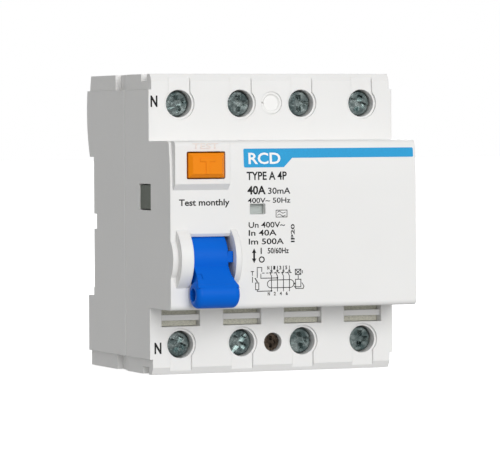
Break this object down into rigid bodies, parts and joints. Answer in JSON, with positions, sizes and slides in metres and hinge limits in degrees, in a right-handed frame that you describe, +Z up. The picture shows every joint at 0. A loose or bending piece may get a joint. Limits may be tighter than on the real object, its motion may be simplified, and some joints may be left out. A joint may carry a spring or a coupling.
{
  "type": "residual current device",
  "caption": "DIN-rail residual current device with toggle, test button, status flag, cage terminals with screws, differential transformer and sprung rail latches.",
  "frame": {"origin": "centre of the rail seat face, midway across the width and on the centre line of the 35 mm rail", "axes": "+X to the viewer's right, front faces -Y, rail side +Y, +Z up; the toggle is down (off) at rest"},
  "size_m": [0.072, 0.0731, 0.0816],
  "materials": {
    "housing_white": "fine satin moulded thermoplastic",
    "plug_white": "satin moulded plastic",
    "handle_blue": "satin moulded plastic",
    "button_orange": "satin moulded plastic",
    "flag_grey": "matt moulded plastic",
    "latch_plastic": "matt glass-filled nylon",
    "inner_plastic": "matt moulded thermoset",
    "frame_moulding": "matt glass-filled thermoset",
    "fibre": "vulcanised fibre board",
    "screw_zinc": "zinc plated, satin",
    "steel_zinc": "zinc plated sheet steel",
    "spring_steel": "drawn spring wire",
    "bronze_screw": "chromated, brownish",
    "bronze_strip": "rolled phosphor bronze",
    "copper": "bare copper",
    "silver_contact": "silver alloy",
    "core_metal": "annealed nickel iron",
    "enamel_wire": "enamelled copper",
    "resistor_body": "coated ceramic"
  },
  "bodies": {
    "housing": {"base_shell": "housing_white", "front_cover": "housing_white", "cover_screws": "bronze_screw", "screw_plug": "plug_white", "test_spring": "spring_steel", "test_guide": "inner_plastic", "test_contact_strip": "bronze_strip", "test_resistor": "resistor_body", "handle_pin": "steel_zinc", "handle_spring": "spring_steel", "mechanism_frame": "frame_moulding", "upper_busbars": "copper", "fixed_contact_tips": "silver_contact", "braids": "copper", "arc_chutes": "fibre", "toroid_case": "inner_plastic", "toroid_core": "core_metal", "secondary_winding": "enamel_wire", "primary_conductors": "enamel_wire", "relay_case": "inner_plastic", "relay_coil": "enamel_wire", "relay_yoke": "core_metal", "latch_spring_left": "spring_steel", "latch_spring_right": "spring_steel", "lower_busbar_1": "copper", "lower_busbar_2": "copper", "lower_busbar_3": "copper", "lower_busbar_4": "copper"},
    "toggle": {"handle": "handle_blue"},
    "link": {"handle_link": "steel_zinc"},
    "carrier": {"contact_carrier": "inner_plastic", "contact_springs": "spring_steel", "moving_contact_1": "copper", "moving_contact_2": "copper", "moving_contact_3": "copper", "moving_contact_4": "copper"},
    "flag": {"indicator_flag": "flag_grey"},
    "button": {"test_button": "button_orange"},
    "plunger": {"relay_plunger": "core_metal"},
    "trip": {"trip_lever": "inner_plastic"},
    "latch_left": {"rail_latch_left": "latch_plastic"},
    "latch_right": {"rail_latch_right": "latch_plastic"},
    "screw_top_1": {"terminal_screw_top_1": "screw_zinc"},
    "cage_top_1": {"terminal_cage_top_1": "steel_zinc"},
    "screw_top_2": {"terminal_screw_top_2": "screw_zinc"},
    "cage_top_2": {"terminal_cage_top_2": "steel_zinc"},
    "screw_top_3": {"terminal_screw_top_3": "screw_zinc"},
    "cage_top_3": {"terminal_cage_top_3": "steel_zinc"},
    "screw_top_4": {"terminal_screw_top_4": "screw_zinc"},
    "cage_top_4": {"terminal_cage_top_4": "steel_zinc"},
    "screw_bottom_1": {"terminal_screw_bottom_1": "screw_zinc"},
    "cage_bottom_1": {"terminal_cage_bottom_1": "steel_zinc"},
    "screw_bottom_2": {"terminal_screw_bottom_2": "screw_zinc"},
    "cage_bottom_2": {"terminal_cage_bottom_2": "steel_zinc"},
    "screw_bottom_3": {"terminal_screw_bottom_3": "screw_zinc"},
    "cage_bottom_3": {"terminal_cage_bottom_3": "steel_zinc"},
    "screw_bottom_4": {"terminal_screw_bottom_4": "screw_zinc"},
    "cage_bottom_4": {"terminal_cage_bottom_4": "steel_zinc"}
  },
  "joints": [
    {"name": "handle_pivot", "type": "hinge", "parent": "housing", "child": "toggle", "pos_m": [-0.0249, -0.0552, -0.0089], "axis": [-1, 0, 0], "range_deg": [0, 70]},
    {"name": "link_pivot", "type": "hinge", "parent": "toggle", "child": "link", "pos_m": [-0.0226, -0.0552, -0.0039], "axis": [1, 0, 0], "range_deg": [0, 73]},
    {"name": "contact_shaft", "type": "hinge", "parent": "housing", "child": "carrier", "pos_m": [0, -0.014, -0.003], "axis": [-1, 0, 0], "range_deg": [0, 26.1], "deforming": ["braids"]},
    {"name": "flag_slide", "type": "slide", "parent": "housing", "child": "flag", "axis": [0, 0, 1], "range_m": [0, 0.00351]},
    {"name": "test_press", "type": "slide", "parent": "housing", "child": "button", "axis": [0, 1, 0], "range_m": [0, 0.0018], "stiffness_N_per_m": 600, "springref_m": -0.001, "deforming": ["test_spring"]},
    {"name": "relay_stroke", "type": "slide", "parent": "housing", "child": "plunger", "axis": [-1, 0, 0], "range_m": [0, 0.0015], "stiffness_N_per_m": 200, "springref_m": -0.001},
    {"name": "trip_pivot", "type": "hinge", "parent": "housing", "child": "trip", "pos_m": [-0.0224, -0.0305, 0.0098], "axis": [0, -1, 0], "range_deg": [0, 18.05]},
    {"name": "latch_left_slide", "type": "slide", "parent": "housing", "child": "latch_left", "axis": [0, 0, -1], "range_m": [0, 0.003], "stiffness_N_per_m": 900, "springref_m": -0.002, "deforming": ["latch_spring_left"]},
    {"name": "latch_right_slide", "type": "slide", "parent": "housing", "child": "latch_right", "axis": [0, 0, -1], "range_m": [0, 0.003], "stiffness_N_per_m": 900, "springref_m": -0.002, "deforming": ["latch_spring_right"]},
    {"name": "screw_top_1_turn", "type": "hinge", "parent": "housing", "child": "screw_top_1", "pos_m": [-0.027, -0.04, 0.0327], "axis": [0, 1, 0], "range_deg": [0, 3150]},
    {"name": "cage_top_1_rise", "type": "slide", "parent": "housing", "child": "cage_top_1", "axis": [0, -1, 0], "range_m": [0, 0.007]},
    {"name": "screw_top_2_turn", "type": "hinge", "parent": "housing", "child": "screw_top_2", "pos_m": [-0.009, -0.04, 0.0327], "axis": [0, 1, 0], "range_deg": [0, 3150]},
    {"name": "cage_top_2_rise", "type": "slide", "parent": "housing", "child": "cage_top_2", "axis": [0, -1, 0], "range_m": [0, 0.007]},
    {"name": "screw_top_3_turn", "type": "hinge", "parent": "housing", "child": "screw_top_3", "pos_m": [0.009, -0.04, 0.0327], "axis": [0, 1, 0], "range_deg": [0, 3150]},
    {"name": "cage_top_3_rise", "type": "slide", "parent": "housing", "child": "cage_top_3", "axis": [0, -1, 0], "range_m": [0, 0.007]},
    {"name": "screw_top_4_turn", "type": "hinge", "parent": "housing", "child": "screw_top_4", "pos_m": [0.027, -0.04, 0.0327], "axis": [0, 1, 0], "range_deg": [0, 3150]},
    {"name": "cage_top_4_rise", "type": "slide", "parent": "housing", "child": "cage_top_4", "axis": [0, -1, 0], "range_m": [0, 0.007]},
    {"name": "screw_bottom_1_turn", "type": "hinge", "parent": "housing", "child": "screw_bottom_1", "pos_m": [-0.027, -0.04, -0.0327], "axis": [0, 1, 0], "range_deg": [0, 3150]},
    {"name": "cage_bottom_1_rise", "type": "slide", "parent": "housing", "child": "cage_bottom_1", "axis": [0, -1, 0], "range_m": [0, 0.007]},
    {"name": "screw_bottom_2_turn", "type": "hinge", "parent": "housing", "child": "screw_bottom_2", "pos_m": [-0.009, -0.04, -0.0327], "axis": [0, 1, 0], "range_deg": [0, 3150]},
    {"name": "cage_bottom_2_rise", "type": "slide", "parent": "housing", "child": "cage_bottom_2", "axis": [0, -1, 0], "range_m": [0, 0.007]},
    {"name": "screw_bottom_3_turn", "type": "hinge", "parent": "housing", "child": "screw_bottom_3", "pos_m": [0.009, -0.04, -0.0327], "axis": [0, 1, 0], "range_deg": [0, 3150]},
    {"name": "cage_bottom_3_rise", "type": "slide", "parent": "housing", "child": "cage_bottom_3", "axis": [0, -1, 0], "range_m": [0, 0.007]},
    {"name": "screw_bottom_4_turn", "type": "hinge", "parent": "housing", "child": "screw_bottom_4", "pos_m": [0.027, -0.04, -0.0327], "axis": [0, 1, 0], "range_deg": [0, 3150]},
    {"name": "cage_bottom_4_rise", "type": "slide", "parent": "housing", "child": "cage_bottom_4", "axis": [0, -1, 0], "range_m": [0, 0.007]}
  ],
  "couplings": [
    {"joint": "link_pivot", "follows": "handle_pivot", "ratio": 1.04},
    {"joint": "contact_shaft", "follows": "handle_pivot", "ratio": 0.37143},
    {"joint": "flag_slide", "follows": "handle_pivot", "m_per_rad": 0.002865},
    {"joint": "trip_pivot", "follows": "relay_stroke", "rad_per_m": 209.44},
    {"joint": "cage_top_1_rise", "follows": "screw_top_1_turn", "m_per_rad": 0.00012732},
    {"joint": "cage_top_2_rise", "follows": "screw_top_2_turn", "m_per_rad": 0.00012732},
    {"joint": "cage_top_3_rise", "follows": "screw_top_3_turn", "m_per_rad": 0.00012732},
    {"joint": "cage_top_4_rise", "follows": "screw_top_4_turn", "m_per_rad": 0.00012732},
    {"joint": "cage_bottom_1_rise", "follows": "screw_bottom_1_turn", "m_per_rad": 0.00012732},
    {"joint": "cage_bottom_2_rise", "follows": "screw_bottom_2_turn", "m_per_rad": 0.00012732},
    {"joint": "cage_bottom_3_rise", "follows": "screw_bottom_3_turn", "m_per_rad": 0.00012732},
    {"joint": "cage_bottom_4_rise", "follows": "screw_bottom_4_turn", "m_per_rad": 0.00012732}
  ]
}
